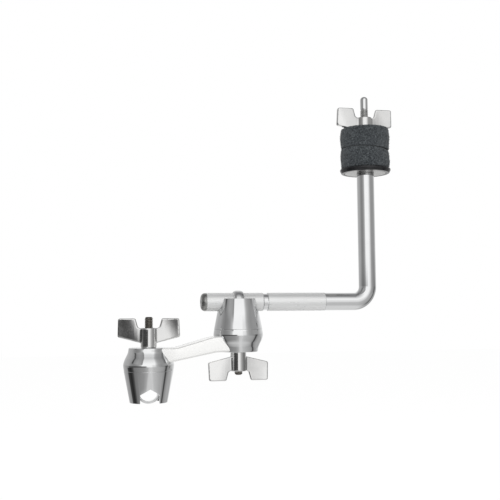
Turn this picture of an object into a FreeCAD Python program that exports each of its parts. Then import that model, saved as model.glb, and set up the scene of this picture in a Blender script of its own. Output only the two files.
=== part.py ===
"""Cymbal arm with two eyebolt clamps and an L-shaped rod, as separate named pieces.

Frame (mm): +Z up, +X along the arm towards the cymbal, +Y away from the viewer.
The origin is where the axis of a gripped stand rod crosses the axis of the left clamp.

A clamp is a cup with a V notch, an eyebolt that runs through it and a wing nut. The link
arm has one coned end on each clamp. The left clamp opens downwards and grips the stand,
the right one opens upwards and grips the L-rod that carries the cymbal seat.
"""
import FreeCAD, Part
import math
import os
import Sketcher

# ---- driving sizes (mm, degrees), one spreadsheet cell each --------------------------------
SIZES = {
    # rods, threads and the gaps round them (gaps are radial)
    "rod_diameter": 12.7, "knurl_raise": 0.1, "gripped_rod_diameter": 9.52,
    "thread_diameter": 5.94, "nut_thread_gap": 0.08, "bolt_hole_gap": 0.33,
    "grip_gap": 0.13, "empty_closure": 1.1,
    # eyebolt
    "ring_gap": 0.35, "ring_wall": 1.8, "ring_width": 7.0, "shank_beyond_nut": 2.5,
    "shank_chamfer": 0.7,
    # cup with its V notch, measured from the seam towards the open end
    "cup_seam_diameter": 34.2, "cup_floor": 4.5, "ring_room": 0.96, "cavity_gap": 0.8,
    "cup_wall": 3.55, "cup_edge_round": 0.9, "notch_depth": 9.9, "notch_gap": 0.15,
    "notch_angle": 120.0,
    # wing nut, measured from the foot and the wall of its hub
    "hub_wall": 2.5, "hub_height": 13.7, "wing_span": 43.3, "wing_thickness": 3.2,
    "wing_root_height": 3.3, "wing_tip_height": 7.3, "wing_top_height": 20.3,
    "wing_step": 3.65, "shoulder_step": 1.9, "wing_shoulder_height": 15.0,
    "wing_corner_round": 1.5, "wing_edge_round": 0.9,
    # link arm
    "clamp_spacing": 63.0, "clamp_rise": 27.7, "arm_end_height": 15.7,
    "strap_width": 21.4, "strap_low_thickness": 10.0, "strap_low_inset": 0.1,
    "strap_high_thickness": 11.6, "strap_high_inset": 0.3, "strap_bend_round": 16.0,
    "strap_edge_round": 2.4,
    # L-rod: knurled bands left and right of the groove, then the bend and the upright leg
    "rod_tail": 26.6, "first_band": 44.4, "groove_width": 3.3, "second_band": 42.6,
    "plain_run": 33.1, "groove_depth": 0.3, "bend_radius": 11.0, "leg_height": 94.6,
    "rod_end_round": 1.6, "leg_chamfer": 0.5, "centre_drill_diameter": 2.6,
    "stud_socket_depth": 12.0, "socket_gap": 0.05,
    # cymbal seat, measured up from the shoulder of the rod
    "washer_diameter": 30.5, "washer_thickness": 1.2, "recess_gap": 0.05,
    "flange_diameter": 37.2, "flange_thickness": 3.0, "flange_flare": 0.9, "flange_lip": 1.0,
    "sleeve_wall": 1.5, "sleeve_gap": 1.1, "felt_gap": 0.05, "felt_hub_gap": 0.4,
    "lower_felt_diameter": 36.4, "lower_felt_thickness": 14.6,
    "upper_felt_diameter": 35.8, "upper_felt_thickness": 15.4, "felt_round": 1.2,
    "dish_rim": 0.7, "dish_depth": 2.5, "nut_sink": 4.8,
    "thread_beyond_nut": 6.2, "pin_diameter": 5.6, "pin_length": 9.8,
}
# The coned arm end: (share of arm_end_height above the seam, share of cup_seam_diameter).
ARM_END_PROFILE = ((0.0, 0.994), (0.11, 1.012), (0.25, 1.023), (0.38, 1.0), (0.52, 0.953),
                   (0.66, 0.889), (0.80, 0.836), (0.95, 0.812), (1.0, 0.784))
DOME_ANGLES = (20, 45, 70)          # points along the rounded tip of the cymbal stud
EDGE_TOLERANCE = 1e-3

# ---- places worked out from the sizes, as spreadsheet expressions --------------------------
HALF_NOTCH = "(sizes.notch_angle / 2)"
KNURL_RADIUS = "(sizes.rod_diameter / 2 + sizes.knurl_raise)"
GRIPPED_RADIUS = "(sizes.gripped_rod_diameter / 2)"
THREAD_RADIUS = "(sizes.thread_diameter / 2)"
NUT_BORE = f"({THREAD_RADIUS} + sizes.nut_thread_gap)"
BOLT_HOLE = f"({THREAD_RADIUS} + sizes.bolt_hole_gap)"
HUB_RADIUS = f"({NUT_BORE} + sizes.hub_wall)"
# the ring passes over the knurled rod, and the cup's cavity takes the ring
RING_INNER = f"({KNURL_RADIUS} + sizes.ring_gap)"
RING_OUTER = f"({RING_INNER} + sizes.ring_wall)"
CAVITY_RADIUS = f"({RING_OUTER} + sizes.cavity_gap)"
CUP_OPEN_RADIUS = f"({CAVITY_RADIUS} + sizes.cup_wall)"
CUP_SEAM_RADIUS = "(sizes.cup_seam_diameter / 2)"
# the V starts where a gripped rod leaves the ring of the empty clamp its room over the floor
LOW_RING = f"({RING_INNER} - {GRIPPED_RADIUS} + sizes.empty_closure)"
NOTCH_APEX = (f"(sizes.cup_floor + sizes.ring_room + {RING_OUTER} + {LOW_RING}"
              f" - {GRIPPED_RADIUS} / sin({HALF_NOTCH}))")
CUP_HEIGHT = f"({NOTCH_APEX} + sizes.notch_depth)"
NOTCH_HALF_WIDTH = f"({KNURL_RADIUS} + sizes.notch_gap)"
# the gripped rod touches both notch flanks, which sets how high the left seam stands
SEAM = f"({NOTCH_APEX} + {GRIPPED_RADIUS} / sin({HALF_NOTCH}))"
# the L-rod lies in the notch of the right cup with a small gap to the flanks and the ring
HIGH_SEAM = f"({SEAM} + sizes.clamp_rise)"
HELD_ROD = f"({NOTCH_APEX} + ({KNURL_RADIUS} + sizes.grip_gap) / sin({HALF_NOTCH}))"
HELD_RING = f"({HELD_ROD} + {KNURL_RADIUS} + sizes.grip_gap - {RING_INNER})"
ROD_AXIS = f"({HIGH_SEAM} + {HELD_ROD})"
HIGH_RING = f"({HIGH_SEAM} + {HELD_RING})"
ARM_TOP = f"({SEAM} + sizes.arm_end_height)"
ARM_BOTTOM = f"({HIGH_SEAM} - sizes.arm_end_height)"
# the shank runs through cup, arm and nut, and stands out by shank_beyond_nut
SHANK_LENGTH = (f"({HELD_RING} + sizes.arm_end_height + sizes.hub_height"
                " + sizes.shank_beyond_nut)")
# the strap of the arm ends just inside the outer faces of both coned ends
STRAP_LOW_TOP = "(sizes.arm_end_height - sizes.strap_low_inset)"
STRAP_LOW_BOTTOM = f"({STRAP_LOW_TOP} - sizes.strap_low_thickness)"
STRAP_HIGH_BOTTOM = "(sizes.clamp_rise - sizes.arm_end_height + sizes.strap_high_inset)"
STRAP_HIGH_TOP = f"({STRAP_HIGH_BOTTOM} + sizes.strap_high_thickness)"
# the horizontal run of the L-rod, measured back from its upright leg
BAND_END = "(0 - sizes.plain_run)"
GROOVE_END = f"({BAND_END} - sizes.second_band)"
GROOVE_START = f"({GROOVE_END} - sizes.groove_width)"
ROD_END = f"({GROOVE_START} - sizes.first_band)"
LEG_AXIS = f"(sizes.clamp_spacing - sizes.rod_tail - {ROD_END})"
SHOULDER = f"({ROD_AXIS} + sizes.leg_height)"
# the felts rest on the flange of the seat and on each other, and the nut sinks into the top
LOWER_FELT = "(sizes.flange_thickness + sizes.felt_gap)"
UPPER_FELT = f"({LOWER_FELT} + sizes.lower_felt_thickness + sizes.felt_gap)"
FELT_HOLE = f"({HUB_RADIUS} + sizes.felt_hub_gap)"
NUT_FOOT = f"({UPPER_FELT} + sizes.upper_felt_thickness - sizes.nut_sink)"
SLEEVE_TOP = f"({NUT_FOOT} - sizes.sleeve_gap)"
SLEEVE_RADIUS = f"({BOLT_HOLE} + sizes.sleeve_wall)"
THREAD_TOP = f"({NUT_FOOT} + sizes.hub_height + sizes.thread_beyond_nut)"
PIN_TIP = f"({THREAD_TOP} + sizes.pin_length)"

doc = FreeCAD.newDocument("CymbalArm")
sheet = doc.addObject("Spreadsheet::Sheet", "sizes")
for row, (alias, value) in enumerate(SIZES.items(), start=1):
    sheet.set(f"A{row}", alias)
    sheet.set(f"B{row}", str(value))
    sheet.setAlias(f"B{row}", alias)
doc.recompute()

bodies = []


# ---- helpers --------------------------------------------------------------------------------
def new_body(label, at=("0", "0", "0"), turn=FreeCAD.Rotation()):
    """A body whose origin stands at the three expressions in at."""
    body = doc.addObject("PartDesign::Body", label)
    body.Label = label
    body.Placement = FreeCAD.Placement(FreeCAD.Vector(), turn)
    for axis, expression in zip("xyz", at):
        if expression != "0":
            body.setExpression(f".Placement.Base.{axis}", expression)
    bodies.append(body)
    return body


def attach(body, role, name, lift=None):
    """An empty sketch on one of the body's own origin planes, lifted along its normal."""
    sketch = body.newObject("Sketcher::SketchObject", f"{body.Label}_{name}")
    plane = next(part for part in body.Origin.OriginFeatures if part.Role == role)
    sketch.AttachmentSupport = [(plane, "")]
    sketch.MapMode = "FlatFace"
    if lift:
        sketch.setExpression(".AttachmentOffset.Base.z", lift)
    return sketch


def place(sketch, geometry, point, x, y):
    """Tie one point of the sketch's geometry to a pair of coordinate expressions."""
    for kind, expression in (("DistanceX", x), ("DistanceY", y)):
        index = sketch.addConstraint(Sketcher.Constraint(kind, -1, 1, geometry, point, 1.0))
        sketch.setExpression(f"Constraints[{index}]", expression)


def outline(sketch, corners):
    """A closed polygon through the corners, each a pair of expressions."""
    count = len(corners)
    guess = [FreeCAD.Vector(10 * math.cos(2 * math.pi * i / count),
                            10 * math.sin(2 * math.pi * i / count), 0) for i in range(count)]
    for i in range(count):
        sketch.addGeometry(Part.LineSegment(guess[i], guess[(i + 1) % count]))
    for i in range(count):
        sketch.addConstraint(Sketcher.Constraint("Coincident", i, 2, (i + 1) % count, 1))
    for i, (x, y) in enumerate(corners):
        place(sketch, i, 1, x, y)
    return sketch


def axis_line(sketch, start, end):
    """A construction line, used as the axis of a revolution."""
    index = sketch.addGeometry(Part.LineSegment(FreeCAD.Vector(1, 2, 0),
                                                FreeCAD.Vector(3, 5, 0)), True)
    place(sketch, index, 1, *start)
    place(sketch, index, 2, *end)


def revolve(body, name, corners, axis="V_Axis", role="XZ_Plane", line=None):
    """A full turn of a polygon about an axis of its own sketch."""
    sketch = outline(attach(body, role, f"{name}_outline"), corners)
    if line:
        axis_line(sketch, *line)
        axis = "Axis0"
    turned = body.newObject("PartDesign::Revolution", f"{body.Label}_{name}")
    turned.Profile = (sketch, [""])
    turned.ReferenceAxis = (sketch, [axis])
    turned.Angle = 360
    sketch.Visibility = False
    return turned


def slab(body, name, corners, width, kind="PartDesign::Pad"):
    """A polygon in the XZ plane, given an even thickness about that plane."""
    sketch = outline(attach(body, "XZ_Plane", f"{name}_outline"), corners)
    feature = body.newObject(kind, f"{body.Label}_{name}")
    feature.Profile = (sketch, [""])
    feature.SideType = "Symmetric"
    feature.setExpression("Length", width)
    sketch.Visibility = False
    return feature


def round_edges(body, name, base, wanted, radius):
    """A fillet on every edge of the base feature that the test picks."""
    doc.recompute()
    names = [f"Edge{i}" for i, edge in enumerate(base.Shape.Edges, start=1) if wanted(edge)]
    fillet = body.newObject("PartDesign::Fillet", f"{body.Label}_{name}")
    fillet.Base = (base, names)
    fillet.setExpression("Radius", radius)
    return fillet


def size(expression):
    """The value of an expression, read back through a spare cell of the sheet."""
    sheet.set("D1", f"={expression.replace('sizes.', '')}")
    doc.recompute()
    return float(sheet.get("D1"))


def near(a, b):
    return abs(a - b) < EDGE_TOLERANCE


def runs_along_y(edge):
    """True for a straight edge square to the XZ plane."""
    ends = [vertex.Point for vertex in edge.Vertexes]
    return len(ends) == 2 and near(ends[0].x, ends[1].x) and near(ends[0].z, ends[1].z)


# ---- clamp pieces ---------------------------------------------------------------------------
def cup(label, at, turn):
    """Conical cup: seam at z = 0, open end up, notch across it along Y."""
    body = new_body(label, at, turn)
    shell = revolve(body, "shell", (
        (BOLT_HOLE, "0"), (CUP_SEAM_RADIUS, "0"), (CUP_OPEN_RADIUS, CUP_HEIGHT),
        (CAVITY_RADIUS, CUP_HEIGHT), (CAVITY_RADIUS, "sizes.cup_floor"),
        (BOLT_HOLE, "sizes.cup_floor")))
    rim = size(CUP_HEIGHT)
    round_edges(body, "rim", shell, lambda edge: all(near(vertex.Z, rim)
                for vertex in edge.Vertexes), "sizes.cup_edge_round")
    doc.recompute()
    before = body.Shape.Volume
    wide, beyond = NOTCH_HALF_WIDTH, f"{CUP_HEIGHT} + 1"
    flank = f"{NOTCH_APEX} + {wide} / tan({HALF_NOTCH})"
    slab(body, "notch", (("0", NOTCH_APEX), (wide, flank), (wide, beyond),
                         (f"0 - {wide}", beyond), (f"0 - {wide}", flank)),
         "sizes.cup_seam_diameter * 2", "PartDesign::Pocket")
    doc.recompute()
    if body.Shape.Volume > before - 1:
        raise RuntimeError(f"{label}: the notch cuts nothing")
    return body


def eyebolt(label, at, turn):
    """Ring about the Y axis with its threaded shank pointing down."""
    body = new_body(label, at, turn)
    outer, half, wall = RING_OUTER, "(sizes.ring_width / 2)", "sizes.ring_wall"
    revolve(body, "ring", (
        (f"0 - {half}", RING_INNER), (half, RING_INNER),
        (half, f"{outer} - 0.45 * {wall}"), (f"0.75 * {half}", f"{outer} - 0.15 * {wall}"),
        (f"0.35 * {half}", outer), (f"-0.35 * {half}", outer),
        (f"-0.75 * {half}", f"{outer} - 0.15 * {wall}"),
        (f"0 - {half}", f"{outer} - 0.45 * {wall}")), axis="H_Axis", role="YZ_Plane")
    root = f"0 - {RING_INNER} - 0.3 * {wall}"
    shank, tip = THREAD_RADIUS, f"0 - {SHANK_LENGTH}"
    revolve(body, "shank", (
        ("0", root), (shank, root), (shank, f"{tip} + sizes.shank_chamfer"),
        (f"{shank} - sizes.shank_chamfer", tip), ("0", tip)))
    return body


def wing_nut(label, at, turn=FreeCAD.Rotation()):
    """Round hub standing on z = 0 with two wings along X."""
    body = new_body(label, at, turn)
    root, tip = f"({HUB_RADIUS} * 0.8)", "sizes.wing_span / 2"
    gap, shoulder = f"{HUB_RADIUS} + sizes.wing_step", f"{HUB_RADIUS} + sizes.shoulder_step"
    right = ((root, "sizes.wing_root_height"), (tip, "sizes.wing_tip_height"),
             (tip, "sizes.wing_top_height"), (gap, "sizes.wing_top_height"),
             (shoulder, "sizes.wing_shoulder_height"), (root, "sizes.hub_height - 0.5"))
    left = tuple((f"0 - ({x})", z) for x, z in reversed(right))
    wings = slab(body, "wings", right + left, "sizes.wing_thickness")
    half_span, top = size(tip), size("sizes.wing_top_height")
    corners = round_edges(body, "corners", wings, lambda edge: runs_along_y(edge) and (
        near(abs(edge.Vertexes[0].X), half_span) or near(edge.Vertexes[0].Z, top)),
        "sizes.wing_corner_round")
    half = size("sizes.wing_thickness / 2")
    round_edges(body, "edges", corners, lambda edge: all(
        near(abs(vertex.Y), half) for vertex in edge.Vertexes)
        and edge.BoundBox.XLength < half_span, "sizes.wing_edge_round")
    bore, hub = NUT_BORE, HUB_RADIUS
    revolve(body, "hub", (
        (bore, "0"), (f"{hub} - 0.4", "0"), (hub, "0.4"), (hub, "sizes.hub_height - 0.5"),
        (f"{hub} - 0.5", "sizes.hub_height"), (bore, "sizes.hub_height")))
    hole = attach(body, "XY_Plane", "bore_outline")
    hole.addGeometry(Part.Circle(FreeCAD.Vector(), FreeCAD.Vector(0, 0, 1), 3.0))
    hole.addConstraint(Sketcher.Constraint("Coincident", 0, 3, -1, 1))
    index = hole.addConstraint(Sketcher.Constraint("Radius", 0, 3.0))
    hole.setExpression(f"Constraints[{index}]", bore)
    drilled = body.newObject("PartDesign::Pocket", f"{label}_bore")
    drilled.Profile = (hole, [""])
    drilled.SideType = "Symmetric"
    drilled.setExpression("Length", "sizes.hub_height * 3")
    return body


def arm_end(body, name, axis_x, seam, direction):
    """One coned end of the link arm, with its seam face at the given height."""
    height = [f"{seam} {direction} {share} * sizes.arm_end_height"
              for share, _ in ARM_END_PROFILE]
    wall = [f"{axis_x} + {share} * {CUP_SEAM_RADIUS}" for _, share in ARM_END_PROFILE]
    bore = f"{axis_x} + {BOLT_HOLE}"
    line = ((axis_x, seam), (axis_x, f"{seam} + 10"))
    revolve(body, name, ((bore, height[0]), *zip(wall, height), (bore, height[-1])), line=line)


def link_arm(label, at):
    """S-shaped strap between two coned ends; the right end is the left one upside down."""
    body = new_body(label, at)
    start, end = f"2 * {BOLT_HOLE}", f"sizes.clamp_spacing - 2 * {BOLT_HOLE}"
    edge = CUP_SEAM_RADIUS
    strap = slab(body, "strap", (
        (start, STRAP_LOW_BOTTOM), (f"{edge} - 3", f"{STRAP_LOW_BOTTOM} + 0.1"),
        (f"sizes.clamp_spacing - {edge}", f"{STRAP_HIGH_BOTTOM} - 0.2"),
        (end, STRAP_HIGH_BOTTOM), (end, STRAP_HIGH_TOP),
        (f"sizes.clamp_spacing - {edge} - 2", f"{STRAP_HIGH_TOP} - 1.2"),
        (f"{edge} + 1.5", f"{STRAP_LOW_TOP} - 0.1"), (start, STRAP_LOW_TOP)),
        "sizes.strap_width")
    low, high = size(start), size(end)
    bends = round_edges(body, "bends", strap, lambda edge: runs_along_y(edge) and not (
        near(edge.Vertexes[0].X, low) or near(edge.Vertexes[0].X, high)),
        "sizes.strap_bend_round")
    half = size("sizes.strap_width / 2")
    round_edges(body, "edges", bends, lambda edge: all(
        near(abs(vertex.Y), half) for vertex in edge.Vertexes)
        and not near(edge.BoundBox.XLength, 0) and not runs_along_y(edge),
        "sizes.strap_edge_round")
    arm_end(body, "low_end", "0", "0", "+")
    arm_end(body, "high_end", "sizes.clamp_spacing", "sizes.clamp_rise", "-")
    return body


# ---- L-rod and cymbal seat ------------------------------------------------------------------
def l_rod(label, at):
    """Round rod from its free end to the bend and up the leg; its axes cross at the origin."""
    body = new_body(label, at)
    knurl, plain, groove = KNURL_RADIUS, "sizes.rod_diameter / 2", f"{KNURL_RADIUS} - sizes.groove_depth"
    drill, bend = "sizes.centre_drill_diameter / 2", "sizes.bend_radius"
    revolve(body, "run", (
        (f"{ROD_END} + {drill}", "0"), (ROD_END, drill),
        (ROD_END, f"{knurl} - sizes.rod_end_round"),
        (f"{ROD_END} + 0.3 * sizes.rod_end_round", f"{knurl} - 0.3 * sizes.rod_end_round"),
        (f"{ROD_END} + sizes.rod_end_round", knurl), (GROOVE_START, knurl),
        (GROOVE_START, groove), (GROOVE_END, groove), (GROOVE_END, knurl),
        (BAND_END, knurl), (BAND_END, plain), (f"0 - {bend}", plain), (f"0 - {bend}", "0")),
        axis="H_Axis")

    circle = attach(body, "YZ_Plane", "bend_outline", f"0 - {bend}")
    circle.addGeometry(Part.Circle(FreeCAD.Vector(), FreeCAD.Vector(0, 0, 1), 6.0))
    circle.addConstraint(Sketcher.Constraint("Coincident", 0, 3, -1, 1))
    index = circle.addConstraint(Sketcher.Constraint("Radius", 0, 6.0))
    circle.setExpression(f"Constraints[{index}]", plain)
    axis_line(circle, ("0", bend), ("0 - 10", bend))
    elbow = body.newObject("PartDesign::Revolution", f"{label}_bend")
    elbow.Profile = (circle, [""])
    elbow.ReferenceAxis = (circle, ["Axis0"])
    elbow.Angle = 90

    socket = f"{THREAD_RADIUS} + sizes.socket_gap"
    bottom = "sizes.leg_height - sizes.stud_socket_depth"
    revolve(body, "leg", (
        ("0", bend), (plain, bend), (plain, "sizes.leg_height - sizes.leg_chamfer"),
        (f"{plain} - sizes.leg_chamfer", "sizes.leg_height"), (socket, "sizes.leg_height"),
        (socket, bottom), ("0", bottom)))
    return body


def cymbal_stud(label, at):
    """Threaded stud seated in the socket of the leg, with a plain rounded pin on top."""
    body = new_body(label, at)
    thread, pin = THREAD_RADIUS, "sizes.pin_diameter / 2"
    dome = [(f"{pin} * cos({angle})", f"{PIN_TIP} - {pin} * (1 - sin({angle}))")
            for angle in DOME_ANGLES]
    revolve(body, "stud", (
        ("0", "0 - sizes.stud_socket_depth"), (thread, "0 - sizes.stud_socket_depth"),
        (thread, f"{THREAD_TOP} - 0.5"), (pin, THREAD_TOP), (pin, f"{PIN_TIP} - {pin}"),
        *dome, ("0", PIN_TIP)))
    return body


def seat_washer(label, at):
    """Flat steel washer under the flange of the seat."""
    body = new_body(label, at)
    outer, top = "sizes.washer_diameter / 2", "sizes.washer_thickness"
    revolve(body, "disc", ((BOLT_HOLE, "0"), (outer, "0"), (outer, top), (BOLT_HOLE, top)))
    return body


def cymbal_seat(label, at):
    """Flange with a recess for the washer and a sleeve up through the felts."""
    body = new_body(label, at)
    rim, flat, top = "sizes.flange_diameter / 2", "sizes.washer_thickness", "sizes.flange_thickness"
    recess = "sizes.washer_diameter / 2 + sizes.recess_gap"
    revolve(body, "seat", (
        (BOLT_HOLE, flat), (recess, flat), (recess, "0"), (rim, "0"), (rim, "sizes.flange_lip"),
        (f"{rim} - sizes.flange_flare", top), (SLEEVE_RADIUS, top),
        (SLEEVE_RADIUS, SLEEVE_TOP), (BOLT_HOLE, SLEEVE_TOP)))
    return body


def felt(label, at, diameter, thickness, dished):
    """Felt ring with soft edges; the dished one leaves room for the wings of the nut."""
    body = new_body(label, at)
    hole, outer, soft = FELT_HOLE, f"{diameter} / 2", "sizes.felt_round"
    inner_top = f"{thickness} - sizes.dish_depth" if dished else thickness
    dish = ((f"{outer} - {soft} - sizes.dish_rim", thickness),) if dished else ()
    revolve(body, "ring", (
        (hole, "0"), (f"{outer} - {soft}", "0"), (outer, soft),
        (outer, f"{thickness} - {soft}"), (f"{outer} - {soft}", thickness), *dish,
        (hole, inner_top)))
    return body


# ---- the pieces, each at its place ----------------------------------------------------------
FLIP_SLOT = FreeCAD.Rotation(FreeCAD.Vector(0, 1, 0), 180)       # opens down, notch along Y
QUARTER_TURN = FreeCAD.Rotation(FreeCAD.Vector(0, 0, 1), 90)     # opens up, notch along X
UPSIDE_DOWN = FreeCAD.Rotation(FreeCAD.Vector(1, 0, 0), 180)
SLIGHT_TURN = FreeCAD.Rotation(FreeCAD.Vector(0, 0, 1), -11.5)   # where this nut came to rest
ON_RIGHT = "sizes.clamp_spacing"

cup("left_cup", ("0", "0", SEAM), FLIP_SLOT)
eyebolt("left_eyebolt", ("0", "0", LOW_RING), FLIP_SLOT)
wing_nut("left_wing_nut", ("0", "0", ARM_TOP), SLIGHT_TURN)
link_arm("link_arm", ("0", "0", SEAM))
cup("right_cup", (ON_RIGHT, "0", HIGH_SEAM), QUARTER_TURN)
eyebolt("right_eyebolt", (ON_RIGHT, "0", HIGH_RING), QUARTER_TURN)
wing_nut("right_wing_nut", (ON_RIGHT, "0", ARM_BOTTOM), UPSIDE_DOWN)
l_rod("l_rod", (LEG_AXIS, "0", ROD_AXIS))
cymbal_stud("cymbal_stud", (LEG_AXIS, "0", SHOULDER))
seat_washer("seat_washer", (LEG_AXIS, "0", SHOULDER))
cymbal_seat("cymbal_seat", (LEG_AXIS, "0", SHOULDER))
felt("lower_felt", (LEG_AXIS, "0", f"{SHOULDER} + {LOWER_FELT}"),
     "sizes.lower_felt_diameter", "sizes.lower_felt_thickness", dished=False)
felt("upper_felt", (LEG_AXIS, "0", f"{SHOULDER} + {UPPER_FELT}"),
     "sizes.upper_felt_diameter", "sizes.upper_felt_thickness", dished=True)
wing_nut("top_wing_nut", (LEG_AXIS, "0", f"{SHOULDER} + {NUT_FOOT}"))
doc.recompute()

# ---- checks, then one STEP file per piece ---------------------------------------------------
for item in doc.Objects:
    if "Invalid" in item.State or "Error" in item.State:
        raise RuntimeError(f"{item.Label} did not build: {item.State}")
for body in bodies:
    shape = body.Shape
    if shape.isNull() or not shape.isValid() or len(shape.Solids) != 1:
        raise RuntimeError(f"{body.Label} is not one valid solid")

os.makedirs("parts", exist_ok=True)
for body in bodies:
    body.Shape.exportStep(f"parts/{body.Label}.step")
    box = body.Shape.BoundBox
    print(f"{body.Label:15s} {body.Shape.Volume:9.1f} mm3   x {box.XMin:7.2f} {box.XMax:7.2f}"
          f"   y {box.YMin:7.2f} {box.YMax:7.2f}   z {box.ZMin:7.2f} {box.ZMax:7.2f}")
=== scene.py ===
# %% [markdown]
# # A clamp-on cymbal boom arm
# This lesson dresses a machined assembly: two clamps joined by a cast link, a bent and knurled
# rod, and a cymbal seat with two felts on top. The assembly arrives as plain solids that fix every
# size and place. Each solid is then replaced by a piece with the threads, ridges, rounded edges
# and fibres of the real one, made where the solid stands and never outside it.

# %% Load the plain solids
import bmesh
import bpy
import math
from mathutils import Matrix, Vector, noise


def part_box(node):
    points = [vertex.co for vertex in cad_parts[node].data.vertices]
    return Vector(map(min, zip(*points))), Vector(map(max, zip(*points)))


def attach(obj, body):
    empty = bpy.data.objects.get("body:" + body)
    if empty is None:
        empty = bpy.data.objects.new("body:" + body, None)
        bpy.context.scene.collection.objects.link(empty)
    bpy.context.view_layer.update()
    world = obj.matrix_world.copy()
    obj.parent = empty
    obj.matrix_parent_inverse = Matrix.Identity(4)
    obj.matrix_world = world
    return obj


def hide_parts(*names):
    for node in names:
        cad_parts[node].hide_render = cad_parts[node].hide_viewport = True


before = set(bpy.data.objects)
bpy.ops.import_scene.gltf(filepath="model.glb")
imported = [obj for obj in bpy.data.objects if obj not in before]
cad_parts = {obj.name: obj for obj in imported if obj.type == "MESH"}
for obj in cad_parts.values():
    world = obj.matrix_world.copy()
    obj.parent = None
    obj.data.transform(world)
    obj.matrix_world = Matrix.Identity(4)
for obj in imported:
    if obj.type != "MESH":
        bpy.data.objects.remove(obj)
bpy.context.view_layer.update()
print("solids:", sorted(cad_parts))

# %% [markdown]
# ## The camera
# The camera comes first, because it decides which edges need care. It stands in front and a little
# to the left, at the height of the link, and looks slightly up, so the top of the rod turns away
# and the underside of the seat shows. A 59 mm lens at about 60 cm keeps perspective gentle.

# %% Stand the camera
def stand(name, data):
    """A new object in the scene."""
    thing = bpy.data.objects.new(name, data)
    bpy.context.scene.collection.objects.link(thing)
    return thing


turn, rise, lean = math.radians(11.484), math.radians(4.518), math.radians(0.455)
ahead = Vector((math.sin(turn) * math.cos(rise), math.cos(turn) * math.cos(rise), math.sin(rise)))
camera_data = bpy.data.cameras.new("camera")
camera_data.sensor_width, camera_data.lens, camera_data.clip_start = 36, 59.04, 0.01
camera = stand("camera", camera_data)
camera.matrix_world = (Matrix.Translation((-0.044477, -0.573384, 0.055043))
                       @ ahead.to_track_quat("-Z", "Y").to_matrix().to_4x4()
                       @ Matrix.Rotation(-lean, 4, "Z"))
bpy.context.scene.camera = camera
print("camera stands at", [round(v, 3) for v in camera.location])


# %% A short way to add a node
def add(tree, kind, feeds=None, **settings):
    """Adds a node, sets its properties, and feeds its sockets with values or other sockets."""
    node = tree.nodes.new(kind)
    for name, value in settings.items():
        setattr(node, name, value)
    for name, value in (feeds or {}).items():
        socket = node.inputs[name]
        if isinstance(value, bpy.types.NodeSocket):
            tree.links.new(value, socket)
        else:
            socket.default_value = value
    return node


def calc(tree, operation, first, second):
    """One sum on two numbers or sockets."""
    return add(tree, "ShaderNodeMath", {0: first, 1: second}, operation=operation).outputs[0]


def ramp(tree, factor, stops):
    """A colour ramp from (place, grey or colour) stops."""
    node = add(tree, "ShaderNodeValToRGB", {"Fac": factor})
    knots = node.color_ramp.elements
    while len(knots) < len(stops):
        knots.new(0.5)
    for knot, (place, shade) in zip(knots, stops):
        knot.position = place
    for knot, (place, shade) in zip(knots, stops):
        shade = (shade,) * 3 if isinstance(shade, (int, float)) else shade
        knot.color = (*shade, 1)
    return node.outputs["Color"]


# %% [markdown]
# ## The studio
# Chrome has no look of its own: it shows the room. The room here is a plain white one: a broad
# white panel behind the camera, side walls that fall off to grey, a few dark gaps, a dim ceiling
# and a pale floor. It is four rings of grey stacked by height, named high, level, dusk and below,
# because upright metal mirrors the level ring while cones and bells tip the view up or down. The
# greys were set until the bands on the metal fell where they should from the front. Only
# mirror rays see that room. Every other ray meets an even soft white, so that felt and plastic
# keep the colours they are given, and the backdrop is white.

# %% The room that the metal mirrors
world = bpy.data.worlds.new("white_studio")
bpy.context.scene.world = world
world.use_nodes = True
room = world.node_tree
room.nodes.clear()
looking = add(room, "ShaderNodeTexCoord").outputs["Generated"]


def along(direction):
    """How far the mirror ray points in a direction."""
    node = add(room, "ShaderNodeVectorMath", {0: looking, 1: direction}, operation="DOT_PRODUCT")
    return node.outputs["Value"]


def spread(value, low, high):
    node = add(room, "ShaderNodeMapRange", {"Value": value, "From Min": low, "From Max": high})
    return node.outputs["Result"]


def blend_shades(share, first, second):
    node = add(room, "ShaderNodeMixRGB", {"Fac": share, "Color1": first, "Color2": second})
    return node.outputs["Color"]


# Degrees round the room start at the wall behind the camera and grow to the right.
to_right = (math.cos(turn), -math.sin(turn), 0)
to_front = (-math.sin(turn), -math.cos(turn), 0)
sideways = spread(calc(room, "ARCTAN2", along(to_right), along(to_front)), -math.pi, math.pi)
height = spread(add(room, "ShaderNodeMath", {0: along((0, 0, 1))},
                    operation="ARCSINE").outputs[0], -math.pi / 2, math.pi / 2)


def round_the_room(stops):
    return [((angle + 180) / 360, shade) for angle, shade in stops]


def up_the_room(stops):
    return [((angle + 90) / 180, shade) for angle, shade in stops]


high = ramp(room, sideways, round_the_room([
    (-180, 1.0), (-140, .46), (-112, .40), (-92, .34), (-84, .28), (-79, .05), (-75, .05),
    (-70, .26), (-50, .38), (-33, .36), (-24, .27), (-20, 1.0), (36, 1.0), (44, .62), (52, .42),
    (66, .33), (82, .29), (93, .15), (104, .12), (112, .26), (140, .42), (180, 1.0)]))
level = ramp(room, sideways, round_the_room([
    (-180, 1.0), (-150, .52), (-121, .40), (-100, .38), (-83, .27), (-68, .22), (-54, .25),
    (-40, .33), (-28, .55), (-22, .96), (20, .97), (25, .84), (36, .78), (44, .48), (54, .35),
    (67, .29), (84, .31), (105, .31), (134, .62), (180, 1.0)]))
dusk = ramp(room, sideways, round_the_room([
    (-180, .9), (-150, .50), (-118, .34), (-98, .24), (-90, .10), (-60, .05), (-30, .05),
    (-12, .07), (-6, .12), (1, .90), (20, .92), (27, .72), (36, .66), (44, .46), (60, .32),
    (84, .24), (91, .07), (100, .07), (106, .28), (134, .5), (180, .9)]))
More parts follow.
